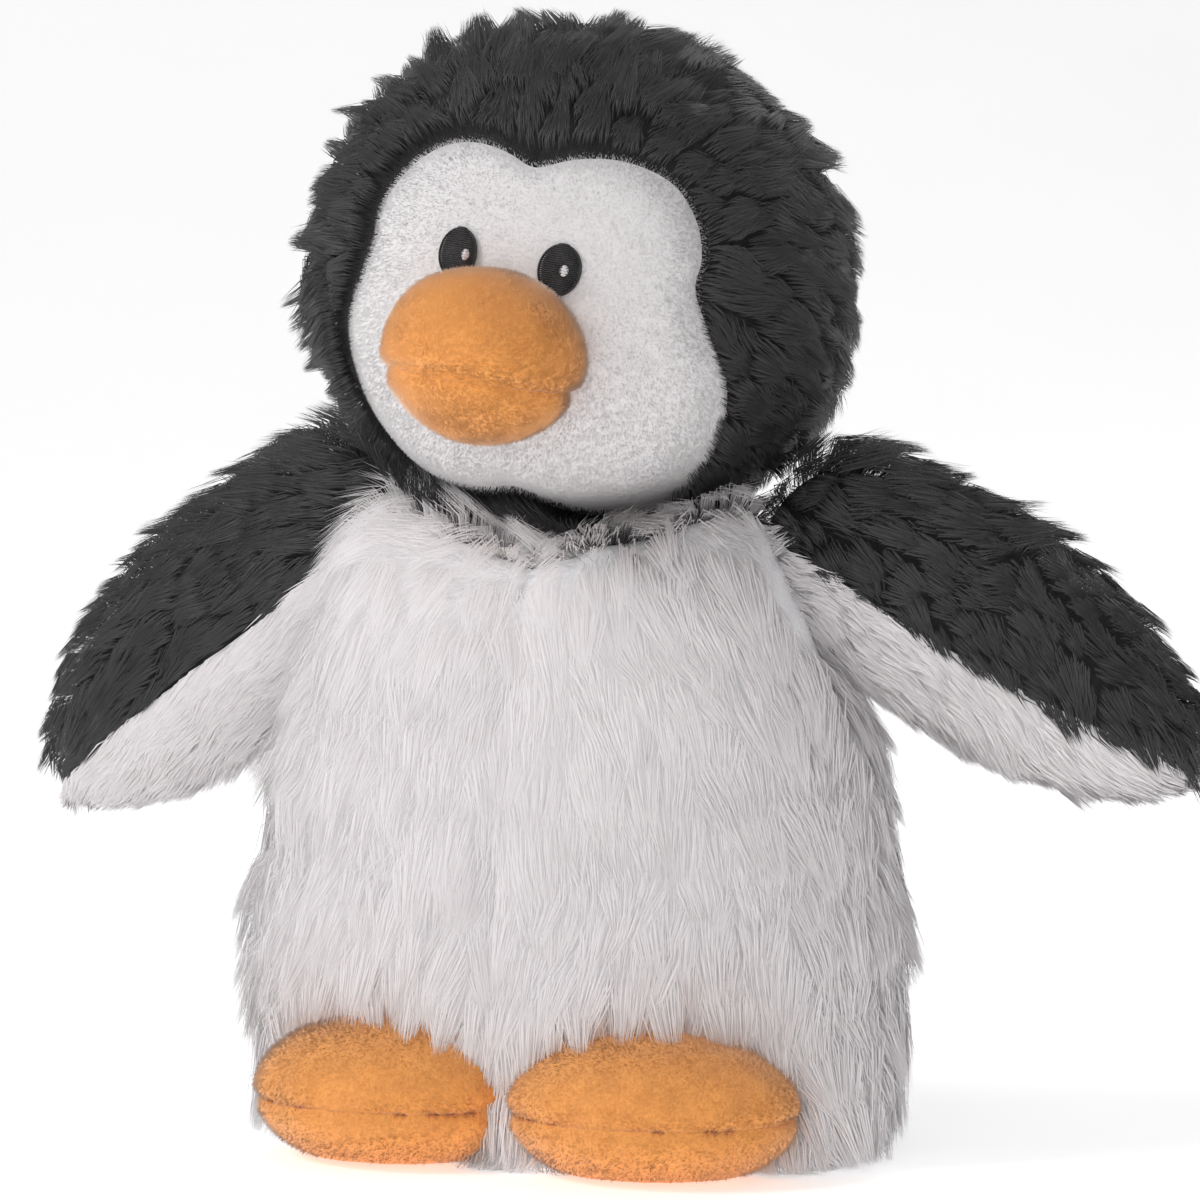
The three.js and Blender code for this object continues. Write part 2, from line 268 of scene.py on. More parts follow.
def swell(form, pressure):
    cloth = form.modifiers.new("Cloth", "CLOTH")
    cloth.settings.use_pressure = True
    cloth.settings.uniform_pressure_force = pressure
    cloth.settings.effector_weights.gravity = 0
    cloth.settings.quality = 5
    for number in range(1, 21):
        bpy.context.scene.frame_set(number)
    select_only(form)
    bpy.ops.object.modifier_apply(modifier=cloth.name)
    bpy.context.scene.frame_set(1)


def press_groove(form, distance):
    """Pulls the skin in where the signed distance to a seam is small."""
    sewing = settings("penguin_sewing")
    depth = sewing.seam_depth * np.exp(-((distance / sewing.seam_width) ** 2))
    set_coordinates(form, coordinates(form) - normals(form) * depth[:, None])


def panel(form, name, cuts, belongs, thickness):
    """Cuts one sewn panel out of a form and gives it the thickness of cloth."""
    piece = bpy.data.objects.new(name, form.data.copy())
    bpy.context.scene.collection.objects.link(piece)
    for place, direction in cuts:
        edit(piece)
        bpy.ops.mesh.bisect(plane_co=Vector(place), plane_no=Vector(direction))
        leave_edit()
    centres = np.empty(len(piece.data.polygons) * 3)
    piece.data.polygons.foreach_get("center", centres)
    outside = ~belongs(centres.reshape(-1, 3))
    edit(piece, "DESELECT")
    bpy.ops.mesh.select_mode(type="FACE")
    leave_edit()
    piece.data.polygons.foreach_set("select", outside)
    bpy.ops.object.mode_set(mode="EDIT")
    bpy.ops.mesh.delete(type="FACE")
    leave_edit()
    apply_modifier(piece, "SOLIDIFY", thickness=thickness, offset=-1)
    smooth_shading(piece)
    return piece


def sew(form, name, cuts, belongs, body, slot, material, node):
    """Makes one sewn panel in place of a node."""
    sheet = panel(form, name, cuts, belongs, settings("penguin_sewing").skin)
    finish_piece(sheet, body, slot, material, node)


# Pile


def drift(places, cell, seed):
    """Three smooth random values from -1 to 1 at each place."""
    size = 16
    lattice = np.random.default_rng(seed).uniform(-1, 1, (size, size, size, 3))
    steps = places / cell + 100.37
    corner = np.floor(steps).astype(int)
    part = steps - corner
    part = part * part * (3 - 2 * part)
    total = np.zeros((len(places), 3))
    for dx in (0, 1):
        for dy in (0, 1):
            for dz in (0, 1):
                index = (corner + (dx, dy, dz)) % size
                weight = np.prod(np.where((dx, dy, dz), part, 1 - part), axis=1)
                total += weight[:, None] * lattice[index[:, 0], index[:, 1], index[:, 2]]
    return total


def roots_on(form, count, keep, seed):
    """Even random roots on a form, with the skin's outward direction at each."""
    rng = np.random.default_rng(seed)
    mesh = form.data
    mesh.calc_loop_triangles()
    corners = np.empty(len(mesh.loop_triangles) * 3, np.int32)
    mesh.loop_triangles.foreach_get("vertices", corners)
    corners = corners.reshape(-1, 3)
    places = coordinates(form)[corners]
    directions = normals(form)[corners]
    centres = places.mean(axis=1)
    wanted = keep(centres)
    places, directions = places[wanted], directions[wanted]
    area = np.linalg.norm(
        np.cross(places[:, 1] - places[:, 0], places[:, 2] - places[:, 0]), axis=1)
    chosen = rng.choice(len(area), count, p=area / area.sum())
    share = rng.dirichlet((1, 1, 1), count)
    points = np.einsum("nk,nkc->nc", share, places[chosen])
    outward = unit(np.einsum("nk,nkc->nc", share, directions[chosen]))
    inside = keep(points)
    return points[inside], outward[inside]


def nearest_guides(points, guides):
    tree = kdtree.KDTree(len(guides))
    for number, place in enumerate(guides):
        tree.insert(place, number)
    tree.balance()
    return np.array([tree.find(place)[1] for place in points])


def along_skin(directions, outward):
    flat = directions - outward * np.sum(directions * outward, axis=1, keepdims=True)
    return unit(flat)


def comb_pile(points, outward, comb, length, stand, droop, lock, seed):
    """Middles and tips of combed fibres that gather into locks."""
    rng = np.random.default_rng(seed)
    count = len(points)
    length, stand, droop = (
        value(points)[:, None] if callable(value) else value for value in (length, stand, droop))
    guides = rng.choice(count, max(8, int(count * lock["share"])), replace=False)
    guide = guides[nearest_guides(points, points[guides])]
    spread = rng.uniform(-1, 1, (count, 4))[guide]
    wave = drift(points, 22 * MM, seed + 1)
    ruffle = drift(points, 7 * MM, seed + 2)
    flow = along_skin(unit(comb(points, outward)) + 0.45 * wave, outward)
    long = length * (1 + lock["vary"] * spread[:, :1]) * rng.uniform(0.75, 1.1, (count, 1))
    first = unit(outward * stand + flow * (1 - stand) + 0.08 * rng.normal(size=(count, 3)))
    second = unit(
        outward * 0.35 * stand + flow * (1 - 0.35 * stand) + DOWN * droop
        + 0.2 * ruffle + lock["vary"] * spread[:, 1:] + 0.08 * rng.normal(size=(count, 3)))
    middles = points + 0.45 * long * first
    tips = middles + 0.55 * long * second
    apart = points - points[guide]
    pull = lock["pull"] * rng.uniform(0.7, 1.0, (count, 1))
    pull = pull * np.clip(1.3 - np.linalg.norm(apart, axis=1, keepdims=True) / lock["reach"], 0, 1)
    tips = tips + pull * (tips[guide] + 0.2 * apart - tips)
    middles = middles + 0.5 * pull * (middles[guide] + 0.7 * apart - middles)
    tones = np.clip(0.5 + 0.15 * spread[:, 0] + 0.3 * (rng.uniform(0, 1, count) - 0.5)
                    + 0.12 * wave[:, 0], 0.04, 0.96)
    return middles, tips, tones


def grow(name, points, outward, middles, tips, width, tones, even):
    """One closed blade for each fibre, its broad side outwards: a root, a ring of three, a tip."""
    count = len(points)
    along = unit(tips - points)
    roll = 0.25 * np.random.default_rng(count).normal(size=(count, 3))
    aside = unit(np.cross(outward + roll, along))
    above = np.cross(along, aside)
    ring = [middles + 0.5 * width * aside, middles - 0.5 * width * aside,
            middles - 0.35 * width * above]
    places = np.stack([points, *ring, tips], axis=1)
    faces = np.array([(0, 2, 1), (0, 3, 2), (0, 1, 3), (4, 1, 2), (4, 2, 3), (4, 3, 1)])
    corners = (faces.reshape(1, -1) + 5 * np.arange(count)[:, None]).ravel()
    step = np.array([0, -0.008, 0, 0.008, 0])
    height = np.array([0.02, 0.45, 0.45, 0.45, 0.98])
    across_map = tones[:, None] + step
    return fibre_object(
        name, places, corners, across_map, np.tile(height, (count, 1)), outward, even)


def grow_nap(name, points, outward, tips, width, tones, even):
    """One closed spike for each tuft of short nap."""
    count = len(points)
    along = unit(tips - points)
    aside = unit(np.cross(along, np.roll(along, 1, axis=1) + 0.01))
    across = np.cross(along, aside)
    ring = []
    for turn in (0, 2 * math.pi / 3, 4 * math.pi / 3):
        ring.append(points + 0.5 * width * (math.cos(turn) * aside + math.sin(turn) * across))
    places = np.stack([*ring, tips], axis=1)
    faces = np.array([(0, 2, 1), (0, 1, 3), (1, 2, 3), (2, 0, 3)])
    corners = (faces.reshape(1, -1) + 4 * np.arange(count)[:, None]).ravel()
    step = np.array([-0.008, 0, 0.008, 0])
    height = np.array([0.05, 0.08, 0.05, 0.98])
    across_map = tones[:, None] + step
    return fibre_object(
        name, places, corners, across_map, np.tile(height, (count, 1)), outward, even)


def fibre_object(name, places, corners, across_map, height_map, outward, even):
    """Joins the fibres, their normals turned by a share, even, towards the skin's own."""
    places[:, :, 2] = np.maximum(places[:, :, 2], FLOOR_GAP)
    mesh = bpy.data.meshes.new(name)
    total = len(corners) // 3
    mesh.vertices.add(places.shape[0] * places.shape[1])
    mesh.vertices.foreach_set("co", places.ravel())
    mesh.loops.add(len(corners))
    mesh.loops.foreach_set("vertex_index", corners)
    mesh.polygons.add(total)
    mesh.polygons.foreach_set("loop_start", np.arange(0, 3 * total, 3))
    mesh.update(calc_edges=True)
    layer = mesh.uv_layers.new(name="OFBake")
    tone_height = np.stack([across_map.ravel()[corners], height_map.ravel()[corners]], axis=1)
    layer.data.foreach_set("uv", tone_height.ravel())
    piece = bpy.data.objects.new(name, mesh)
    bpy.context.scene.collection.objects.link(piece)
    smooth_shading(piece)
    if even:
        own = np.zeros(3 * len(mesh.vertices))
        mesh.vertex_normals.foreach_get("vector", own)
        skin = np.repeat(outward, places.shape[1], axis=0)
        turned = unit(own.reshape(-1, 3) * (1 - even) + skin * even)
        mesh.normals_split_custom_set_from_vertices(turned.tolist())
    return piece


def long_pile(
        name, form, count, keep, comb, length, stand, droop, lock, seed, fine=1.0, even=0.0):
    points, outward = roots_on(form, count, keep, seed)
    middles, tips, tones = comb_pile(
        points, outward, comb, length, stand, droop, lock, seed)
    width = settings("penguin_pile").lock_width * fine
    return grow(name, points, outward, middles, tips, width, tones, even)


def short_nap(name, form, count, keep, comb, stand, seed, fine=1.0):
    pile = settings("penguin_pile")
    rng = np.random.default_rng(seed)
    points, outward = roots_on(form, count, keep, seed)
    wave = drift(points, 6 * MM, seed + 1)
    flow = along_skin(unit(comb(points, outward)) + 0.6 * wave, outward)
    lean = unit(outward * stand + flow * (1 - stand) + 0.12 * rng.normal(size=points.shape))
    tips = points + lean * pile.nap_length * fine * rng.uniform(0.7, 1.15, (len(points), 1))
    tones = np.clip(0.5 + 0.25 * wave[:, 1] + 0.15 * rng.normal(size=len(points)), 0.04, 0.96)
    base = points - outward * 0.15 * MM
    return grow_nap(name, base, outward, tips, pile.nap_width * fine, tones, EVEN_NAP)


# Materials


def new_material(name):
    material = bpy.data.materials.new(name)
    material.use_nodes = True
    nodes = material.node_tree.nodes
    return material, nodes, material.node_tree.links, nodes["Principled BSDF"]


def ramp(nodes, stops):
    node = nodes.new("ShaderNodeValToRGB")
    node.color_ramp.elements[0].position = stops[0][0]
    node.color_ramp.elements[1].position = stops[-1][0]
    for place, _ in stops[1:-1]:
        node.color_ramp.elements.new(place)
    for element, (_, colour) in zip(node.color_ramp.elements, stops):
        element.color = (*colour, 1)
    return node


def scaled(colour, amount):
    return tuple(min(1.0, channel * amount) for channel in colour)


def fibre_material(name, colour, low, high, root, tip, roughness, sheen=0.0):
    """Fibres whose tone varies from lock to lock, with painted shade along each: darker at the root and middle,
    lighter at the tip.
    """
    material, nodes, links, shader = new_material(name)
    place = nodes.new("ShaderNodeUVMap")
    place.uv_map = "OFBake"
    split = nodes.new("ShaderNodeSeparateXYZ")
    tone = ramp(nodes, [(0.0, scaled(colour, low)), (1.0, scaled(colour, high))])
    # Painted shade and light along each fibre, by its place from root (0) to tip (1)
    height = ramp(nodes, [(0.0, (root,) * 3), (0.5, (0.9,) * 3), (1.0, (tip,) * 3)])
    shade = nodes.new("ShaderNodeMix")
    shade.data_type = "RGBA"
    shade.blend_type = "MULTIPLY"
    shade.inputs["Factor"].default_value = 1
    links.new(place.outputs["UV"], split.inputs[0])
    links.new(split.outputs["X"], tone.inputs[0])
    links.new(split.outputs["Y"], height.inputs[0])
    links.new(tone.outputs[0], shade.inputs["A"])
    links.new(height.outputs[0], shade.inputs["B"])
    links.new(shade.outputs["Result"], shader.inputs["Base Color"])
    shader.inputs["Roughness"].default_value = roughness
    shader.inputs["Sheen Weight"].default_value = sheen
    shader.inputs["Sheen Roughness"].default_value = 0.4
    return material


def cloth_material(name, dark, light, scale, bump, roughness=0.9, sheen=0.0, stretch=(1, 1, 1)):
    """Brushed or felted cloth: two scales of mottling with a matching surface."""
    material, nodes, links, shader = new_material(name)
    place = nodes.new("ShaderNodeTexCoord")
    turn = nodes.new("ShaderNodeMapping")
    turn.inputs["Scale"].default_value = stretch
    broad = nodes.new("ShaderNodeTexNoise")
    broad.inputs["Scale"].default_value = scale * 0.12
    broad.inputs["Detail"].default_value = 4
    fine = nodes.new("ShaderNodeTexNoise")
    fine.inputs["Scale"].default_value = scale
    fine.inputs["Detail"].default_value = 6
    both = nodes.new("ShaderNodeMath")
    both.operation = "MULTIPLY_ADD"
    both.inputs[1].default_value = 0.5
    half = nodes.new("ShaderNodeMath")
    half.operation = "MULTIPLY"
    half.inputs[1].default_value = 0.5
    colour = ramp(nodes, [(0.35, dark), (0.65, light)])
    raised = nodes.new("ShaderNodeBump")
    raised.inputs["Strength"].default_value = bump
    raised.inputs["Distance"].default_value = 0.6 * MM
    links.new(place.outputs["Object"], turn.inputs["Vector"])
    links.new(turn.outputs[0], broad.inputs["Vector"])
    links.new(turn.outputs[0], fine.inputs["Vector"])
    links.new(broad.outputs["Fac"], half.inputs[0])
    links.new(fine.outputs["Fac"], both.inputs[0])
    links.new(half.outputs[0], both.inputs[2])
    links.new(both.outputs[0], colour.inputs[0])
    links.new(colour.outputs[0], shader.inputs["Base Color"])
    links.new(fine.outputs["Fac"], raised.inputs["Height"])
    links.new(raised.outputs[0], shader.inputs["Normal"])
    shader.inputs["Roughness"].default_value = roughness
    shader.inputs["Sheen Weight"].default_value = sheen
    return material


def made_once(make):
    """Makes a finish once, under a name of its own, as the frame's slots have plain ones."""
    name = f"penguin_{make.__name__}"
    return lambda: bpy.data.materials.get(name) or make(name)


@made_once
def black_pile(name):
    return fibre_material(name, settings("penguin_colours").black, 0.5, 2.0, 0.5, 1.3, 0.5)


@made_once
def white_pile(name):
    return fibre_material(name, settings("penguin_colours").white, 0.9, 1.06, 0.92, 1.0, 0.9, 0.2)


@made_once
def white_nap(name):
    return fibre_material(name, settings("penguin_colours").face, 0.97, 1.02, 0.97, 1.0, 0.9, 0.2)


@made_once
def orange_nap(name):
    return fibre_material(name, settings("penguin_colours").orange, 0.9, 1.05, 0.95, 1.0, 0.8, 0.6)


@made_once
def black_backing(name):
    return cloth_material(name, (0.008, 0.008, 0.009), (0.02, 0.02, 0.022), 900, 0.5)


@made_once
def white_backing(name):
    return cloth_material(name, (0.78, 0.78, 0.80), (0.88, 0.88, 0.89), 900, 0.5)


@made_once
def short_white(name):
    colour = settings("penguin_colours").face
    return cloth_material(name, scaled(colour, 0.94), colour, 1100, 0.45, sheen=0.15)


@made_once
def short_orange(name):
    colour = settings("penguin_colours").orange
    return cloth_material(name, scaled(colour, 0.75), scaled(colour, 1.05), 1400, 0.6, sheen=0.3)


@made_once
def black_thread(name):
    return cloth_material(
        name, (0.005, 0.005, 0.006), (0.045, 0.042, 0.045), 2200, 0.6, roughness=0.5)


@made_once
def white_thread(name):
    return cloth_material(name, (0.70, 0.68, 0.69), (0.95, 0.93, 0.94), 2200, 0.5, roughness=0.5)


@made_once
def fibre_fill(name):
    return cloth_material(name, (0.62, 0.60, 0.56), (0.88, 0.87, 0.84), 500, 1.0)


@made_once
def pouch_cloth(name):
    return cloth_material(
        name, (0.42, 0.35, 0.25), (0.62, 0.55, 0.44), 1500, 0.7, stretch=(1, 1, 4))


@made_once
def ribbon(name):
    return cloth_material(
        name, (0.80, 0.80, 0.80), (0.92, 0.92, 0.92), 2500, 0.4, roughness=0.4, stretch=(1, 1, 6))


TONES = {
    "black": (black_backing, black_pile, EVEN_BLACK),
    "white": (white_backing, white_pile, EVEN_WHITE),
}


# Body


def near(points, centre, reach):
    return np.linalg.norm(points - centre, axis=1) < reach


def shoulder(side):
    return np.array(JOINTS[f"wing_{side}_flap"]["pos_m"])


def on_body(points):
    """Whether a place on the body's skin shows, and isn't in the neck or an armhole."""
    hidden = near(points, NECK, NECK_REACH) & (points[:, 2] > 0.12)
    for side in ("left", "right"):
        hidden |= near(points, shoulder(side), ARMHOLE_REACH)
    return ~hidden & (points[:, 2] > 4 * MM)


def near_collar(points):
    """From 0 well below the collar to 1 at its edge."""
    return np.clip((66 * MM - np.linalg.norm(points - NECK, axis=1)) / (16 * MM), 0, 1)


def comb_body(points, outward):
    """Down, away from the seam in front, and up at the collar on the toy's right."""
    aside = points[:, 0] - FRINGE_X
    collar = near_collar(points) * np.clip((-aside - 22 * MM) / (20 * MM), 0, 1)
    flow = DOWN + 1.25 * collar[:, None] * UP
    front = np.clip(-points[:, 1] / (20 * MM), 0, 1)
    spread = np.clip(points[:, 0] / (40 * MM), -1, 1)
    flow[:, 0] = 0.3 * spread * front + 0.5 * collar * np.sign(aside)
    from_neck = unit((points - NECK) * (1, 1, 0))
    flow += 0.9 * (near_collar(points) * (1 - collar))[:, None] * from_neck
    return flow


BODY_PARTS = {
    "belly_left": (lambda p: (p[:, 0] > 0) & (p[:, 1] < SIDE_SEAM_Y), "white", 30000),
    "belly_right": (lambda p: (p[:, 0] < 0) & (p[:, 1] < SIDE_SEAM_Y), "white", 30000),
    "back": (lambda p: p[:, 1] > SIDE_SEAM_Y, "black", 26000),
}


class PENGUIN_OT_body(bpy.types.Operator):
    """Makes the body's two front panels and its back, with their pile, and the base."""

    bl_idname = "penguin.body"
    bl_label = "Body"

    def execute(self, context):
        form = copy_of_node("body_form", "torso_stuffing")
        close_hollow(form, "bean_pouch")
        stuff(form, 5 * MM, 3.4 * MM)
        places = coordinates(form)
        places[:, 0] *= np.where(places[:, 0] < 0, 1.05, 1.0)
        fold = drift(places * (0.5, 0.5, 1), 16 * MM, 7)[:, :1]
        set_coordinates(form, places + 1.8 * MM * fold * normals(form) * (1, 1, 0))
        press_groove(form, np.where(places[:, 1] < 0, 0.45 * places[:, 0], 1.0))
        press_groove(form, places[:, 1] - SIDE_SEAM_Y)
        places = coordinates(form)
        places[:, 2] = np.maximum(places[:, 2], 0.4 * MM)
        set_coordinates(form, places)
        cuts = [((0, 0, 0), (1, 0, 0)), ((0, SIDE_SEAM_Y, 0), (0, 1, 0))]
        nodes = {"belly_left": "belly_panel_left", "belly_right": "belly_panel_right",
                 "back": "back_panel"}
        lock = {"share": 0.014, "pull": 0.75, "reach": 10 * MM, "vary": 0.2}
        for number, (name, (belongs, tone, count)) in enumerate(BODY_PARTS.items()):
            backing, pile, even = TONES[tone]
            sew(form, name, cuts, belongs, "torso", f"{tone}_pile", backing(), nodes[name])
            fur = long_pile(
                f"{name}_pile", form, count, lambda p, b=belongs: b(p) & on_body(p), comb_body,
                self.length, self.stand, 0.2, lock, 10 + 10 * number, even=even)
            finish_fibres(fur, "torso", f"{tone}_pile", pile())
        bpy.data.objects.remove(form)
        self.base()
        return {"FINISHED"}

    def length(self, points):
        """Longer on the toy's right, where it was brushed out, and round the hem."""
        side = np.clip(-points[:, 0] / (60 * MM), 0, 1)
        hem = np.clip(1 - points[:, 2] / (50 * MM), 0, 1)
        return settings("penguin_pile").body_length * (1 + 0.12 * side + 0.35 * hem)

    def stand(self, points):
        side = np.clip(-points[:, 0] / (60 * MM), 0, 1)
        hem = np.clip(1 - points[:, 2] / (50 * MM), 0, 1)
        middle = np.clip(1 - np.abs(points[:, 0] - FRINGE_X) / (35 * MM), 0, 1)
        collar = near_collar(points) * (0.4 - 0.3 * middle)
        return 0.34 + 0.12 * side + 0.15 * hem + collar

    def base(self):
        base = copy_of_node("base", "base_panel")
        base.data.remesh_voxel_size = 2 * MM
        select_only(base)
        bpy.ops.object.voxel_remesh()
        apply_modifier(base, "SMOOTH", factor=0.5, iterations=3)
        set_coordinates(base, coordinates(base) * (0.93, 0.9, 1))
        apply_modifier(base, "SUBSURF", levels=1, render_levels=1)
        smooth_shading(base)
        finish_piece(base, "torso", "short_white", short_white(), "base_panel")


# Head


def head_matrix():
    low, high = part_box("head_stuffing")
    turn = Euler((0, HEAD_LEAN, 0)).to_matrix()
    turn = Euler((0, 0, HEAD_TURN)).to_matrix() @ turn
    return Matrix.Translation((low + high) / 2) @ turn.to_4x4()


def in_head(points):
    """Places in the head's own frame, facing -Y."""
    back = np.array(head_matrix().inverted())
    return points @ back[:3, :3].T + back[:3, 3]


def from_head(points):
    matrix = np.array(head_matrix())
    return points @ matrix[:3, :3].T + matrix[:3, 3]


def face_outline(steps=4):
    """The whole face opening as a smooth closed outline, in metres."""
    right = [(x * MM, z * (1.035 if z < 0 else 1) * MM) for x, z in FACE_OUTLINE]
    left = [(-x, z) for x, z in reversed(right[1:-1])]
    corners = np.array(right + left)
    smooth = []
    for i in range(len(corners)):
        before, start, end, after = (corners[(i + k) % len(corners)] for k in (-1, 0, 1, 2))
        for part in np.arange(steps) / steps:
            smooth.append(0.5 * (
                2 * start + (end - before) * part
                + (2 * before - 5 * start + 4 * end - after) * part ** 2
                + (3 * start - before - 3 * end + after) * part ** 3))
    return np.array(smooth)


def inside_outline(points, outline):
    inside = np.zeros(len(points), bool)
    for start, end in zip(outline, np.roll(outline, -1, axis=0)):
        crosses = (start[1] > points[:, 1]) != (end[1] > points[:, 1])
        rise = end[1] - start[1] if end[1] != start[1] else 1e-12
        where = (end[0] - start[0]) * (points[:, 1] - start[1]) / rise + start[0]
        inside ^= crosses & (points[:, 0] < where)
    return inside


def on_face(points, grow=1.0):
    local = in_head(points)
    return (local[:, 1] < 0) & inside_outline(local[:, [0, 2]], face_outline() * grow)


def comb_hood(points, outward):
    """Away from the face, then back over the head and down behind it."""
    local = in_head(points)
    away = local.copy()
    away[:, 1] = 0
    near_face = np.clip(-local[:, 1:2] / (45 * MM), 0, 1)
    behind = np.clip(local[:, 1:2] / (30 * MM), 0, 1)
    chin = np.clip((-30 * MM - local[:, 2:3]) / (15 * MM), 0, 1)
    flow = unit(away) * near_face + BACK * (0.8 - 0.6 * behind) + DOWN * (0.2 + 0.7 * behind)
    return flow * (1 - chin) + chin * (1.2 * DOWN - 1.2 * BACK * near_face + 0.25 * unit(away))


class PENGUIN_OT_hood(bpy.types.Operator):
    """Makes the two black hood panels and their pile."""

    bl_idname = "penguin.hood"
    bl_label = "Hood"

    lean = np.array([-1.2, 0, 0.8]) * MM  # the stuffing has settled to one side

    def execute(self, context):
        form = copy_of_node("hood_form", "head_stuffing")
        stuff(form, 5 * MM, 2.3 * MM)
        set_coordinates(form, coordinates(form) + self.lean)
        matrix = np.array(head_matrix())
        cuts = [(matrix[:3, 3], matrix[:3, 0])]
        lock = {"share": 0.013, "pull": 0.92, "reach": 10 * MM, "vary": 0.24}
        for number, (side, sign) in enumerate((("left", 1), ("right", -1))):
            belongs = lambda p, s=sign: in_head(p)[:, 0] * s > 0
            sew(form, f"hood_skin_{side}", cuts, belongs, "head", "black_pile", black_backing(),
                f"hood_{side}")
            fur = long_pile(
                f"hood_pile_{side}", form, 30000,
                lambda p, b=belongs: b(p) & ~on_face(p, 0.96), comb_hood,
                self.length, self.stand, self.droop, lock, 50 + 10 * number, 0.85, EVEN_BLACK)
            finish_fibres(fur, "head", "black_pile", black_pile())
        bpy.data.objects.remove(form)
        return {"FINISHED"}

    @staticmethod
    def under_chin(points):
        return np.clip((-36 * MM - in_head(points)[:, 2]) / (12 * MM), 0, 1)

    def stand(self, points):
        return 0.72 - 0.3 * self.under_chin(points)

    def droop(self, points):
        return 0.05 + 0.1 * self.under_chin(points)

    def length(self, points):
        """Longer on the side that the head leans from, and under the chin."""
        local = in_head(points)
        side = np.clip(-local[:, 0] / (60 * MM), -1, 1)
        chin = self.under_chin(points)
        rim = on_face(points, 1.16)
        fringe = np.clip(1.1 - np.abs(local[:, 0] - FRINGE_X) / (32 * MM), 0.1, 1)
        long = settings("penguin_pile").hood_length * (1.0 + 0.2 * side + 1.5 * chin * fringe)
        return long * np.where(rim & (chin < 0.5), 0.75, 1)


def face_surface(flat, depth):
    """Lays places in x and z onto the front of the head, a depth below the hood's pile."""
    rim = np.broadcast_to(6.3 * MM - depth, len(flat))[:, None]
    radii = np.array([57.7, 51.7, 53.7]) * MM + rim
    inner = 1 - (flat[:, 0] / radii[:, 0]) ** 2 - (flat[:, 1] / radii[:, 2]) ** 2
    y = -radii[:, 1] * np.sqrt(np.maximum(inner, 0.02))
    return np.stack([flat[:, 0], y, flat[:, 1]], axis=1)


class PENGUIN_OT_face(bpy.types.Operator):
    """Makes the white face panel and its nap."""

    bl_idname = "penguin.face"
    bl_label = "Face"

    middle = np.array([0, -7]) * MM

    def execute(self, context):
        outline = face_outline()
        bpy.ops.object.select_all(action="DESELECT")
        bpy.ops.mesh.primitive_grid_add(x_subdivisions=48, y_subdivisions=48, size=2)
        face = bpy.context.object
        face.name = "face"
        square = coordinates(face)[:, :2]
        ring = np.max(np.abs(square), axis=1)
        angle = np.arctan2(square[:, 1], square[:, 0])
        apart = outline - self.middle
        around = np.arctan2(apart[:, 1], apart[:, 0])
        order = np.argsort(around)
        reach = np.interp(angle, around[order], np.linalg.norm(apart, axis=1)[order],
                          period=2 * math.pi)
        spoke = np.stack([np.cos(angle), np.sin(angle)], axis=1)
        flat = self.middle + spoke * (reach * ring)[:, None]
        edge = reach * (1 - ring)
        sunk = 3.4 * MM * np.exp(-((edge / (3.2 * MM)) ** 2))
        ripple = 0.4 * MM * drift(flat @ np.eye(2, 3), 16 * MM, 3)[:, 0]
        set_coordinates(face, from_head(face_surface(flat, 2.6 * MM + sunk + ripple)))
        edit(face)
        bpy.ops.mesh.normals_make_consistent(inside=False)
        leave_edit()
        if np.mean(normals(face)[:, 1]) > 0:
            edit(face)
            bpy.ops.mesh.flip_normals()
            leave_edit()
        apply_modifier(face, "SUBSURF", levels=2, render_levels=2)
        nap = short_nap("face_nap", face, 40000, lambda p: np.ones(len(p), bool),
                        lambda p, n: np.tile(DOWN, (len(p), 1)), 0.8, 81, 0.8)
        apply_modifier(face, "SOLIDIFY", thickness=settings("penguin_sewing").skin, offset=-1)
        smooth_shading(face)
        finish_fibres(nap, "head", "short_white", white_nap())
        finish_piece(face, "head", "short_white", short_white(), "face_panel")
        return {"FINISHED"}


# Beak


